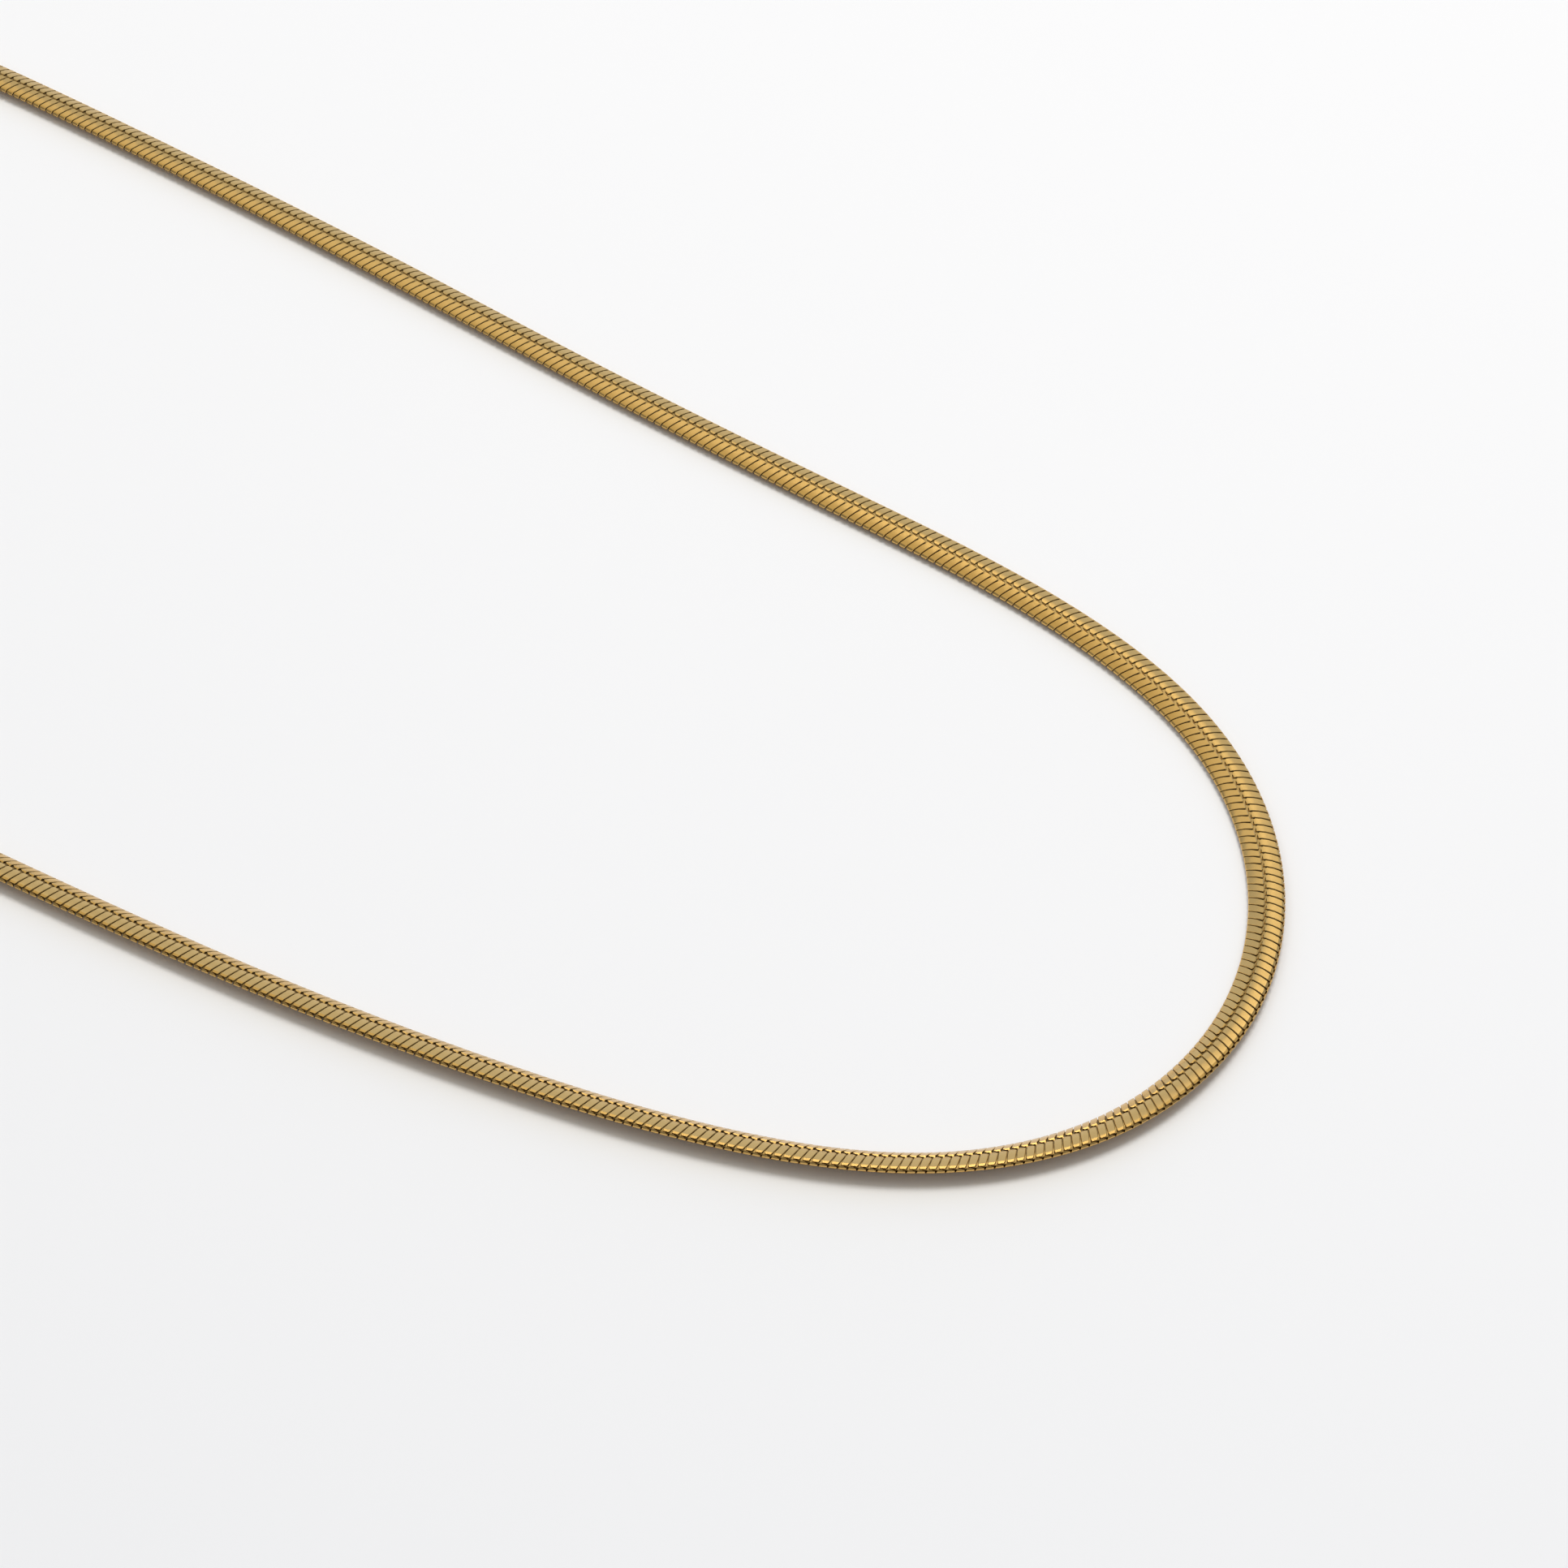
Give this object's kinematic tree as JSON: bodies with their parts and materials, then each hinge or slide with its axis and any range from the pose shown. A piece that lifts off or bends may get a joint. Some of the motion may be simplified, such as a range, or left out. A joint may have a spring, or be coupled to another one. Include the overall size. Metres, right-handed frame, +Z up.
{
  "type": "snake chain",
  "caption": "Flat snake chain necklace in a satin gold colour, fastened in a long loop by a plain box clasp and lying flat on a table",
  "frame": {"origin": "centre of the bounding box, on the table that the chain lies on", "axes": "+Z up from the table; +Y along the loop's length towards the clasp at the back; +X to the right; the front bend is at -Y"},
  "size_m": [0.078, 0.1937, 0.0029],
  "materials": {
    "chain_gold": "gold plated, satin",
    "clasp_gold": "gold plated, polished"
  },
  "bodies": {
    "root": {"chain": "chain_gold", "clasp": "clasp_gold"}
  },
  "joints": []
}
